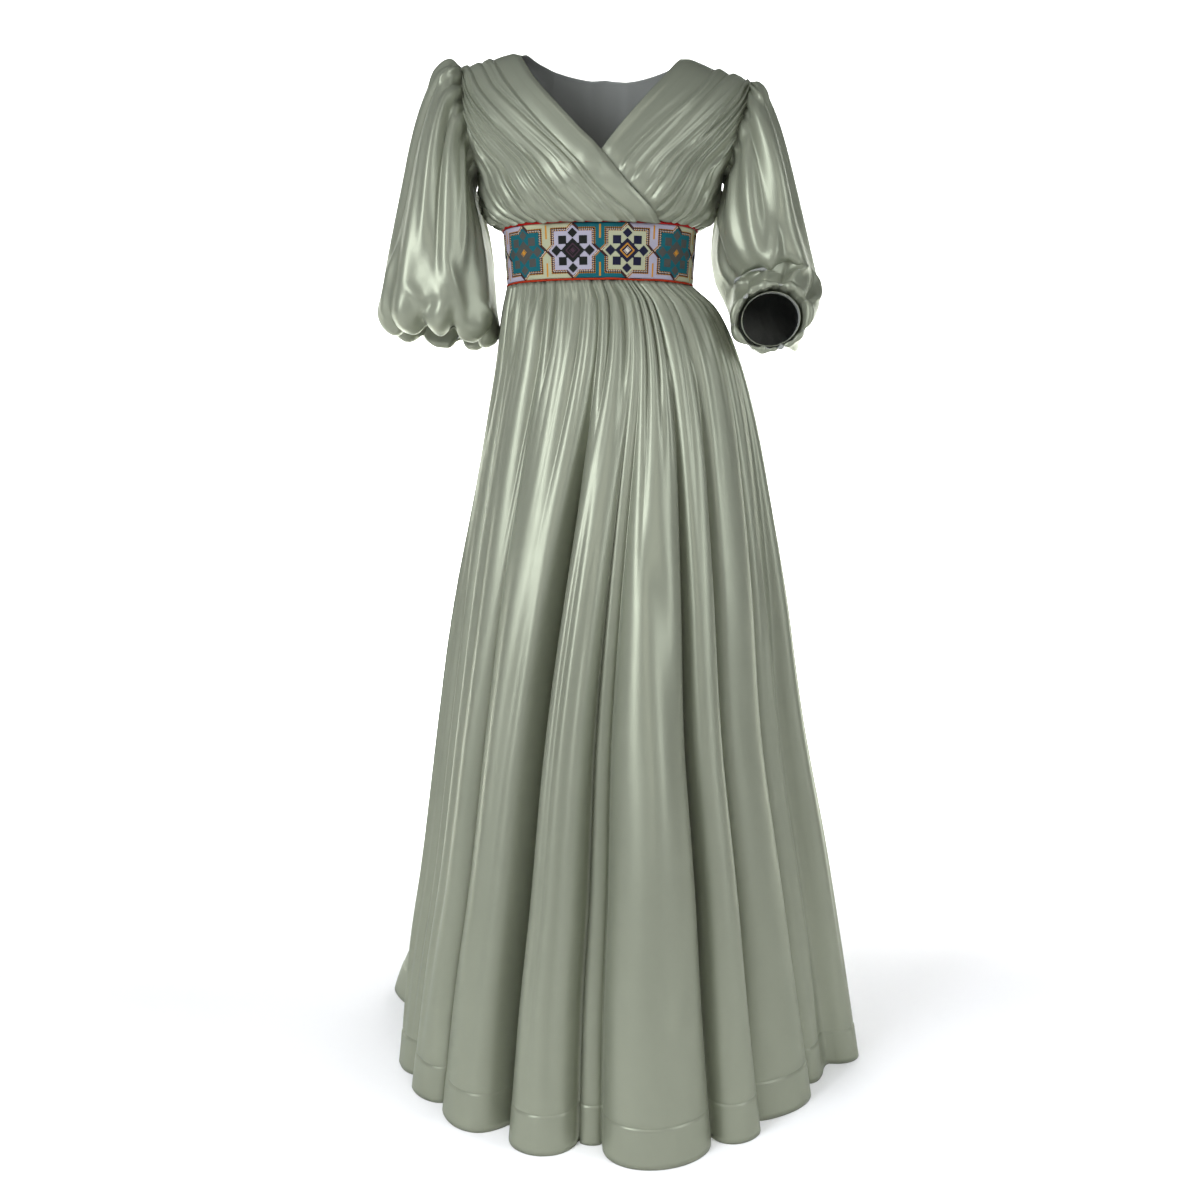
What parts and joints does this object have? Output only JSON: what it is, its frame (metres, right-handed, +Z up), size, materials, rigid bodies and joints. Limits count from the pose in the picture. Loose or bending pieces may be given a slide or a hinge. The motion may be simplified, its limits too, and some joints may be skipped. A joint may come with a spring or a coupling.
{
  "type": "pleated maxi dress",
  "caption": "Floor-length satin wrap dress on a general figure, left out: pleated crossover bodice, embroidered waistband, gathered flared skirt and puffed elbow sleeves.",
  "frame": {"origin": "midway between the shoulders, at the height where the wearer's shoulders carry the dress", "axes": "+Z up, +X towards the wearer's left, -Y towards the front of the dress"},
  "size_m": [0.7406, 0.7613, 1.472],
  "materials": {
    "satin": "heavy satin, sage green, soft lustre",
    "band": "cross-stitched band with eight-pointed stars, matt",
    "piping": "red cord piping, matt"
  },
  "bodies": {
    "root": {"bodice_front_right": "satin", "bodice_front_left": "satin", "bodice_back": "satin", "waistband": "band", "piping_top": "piping", "piping_bottom": "piping", "skirt_front": "satin", "skirt_back": "satin", "sleeve_right": "satin", "sleeve_left": "satin", "cuff_right": "satin", "cuff_left": "satin"}
  },
  "joints": []
}
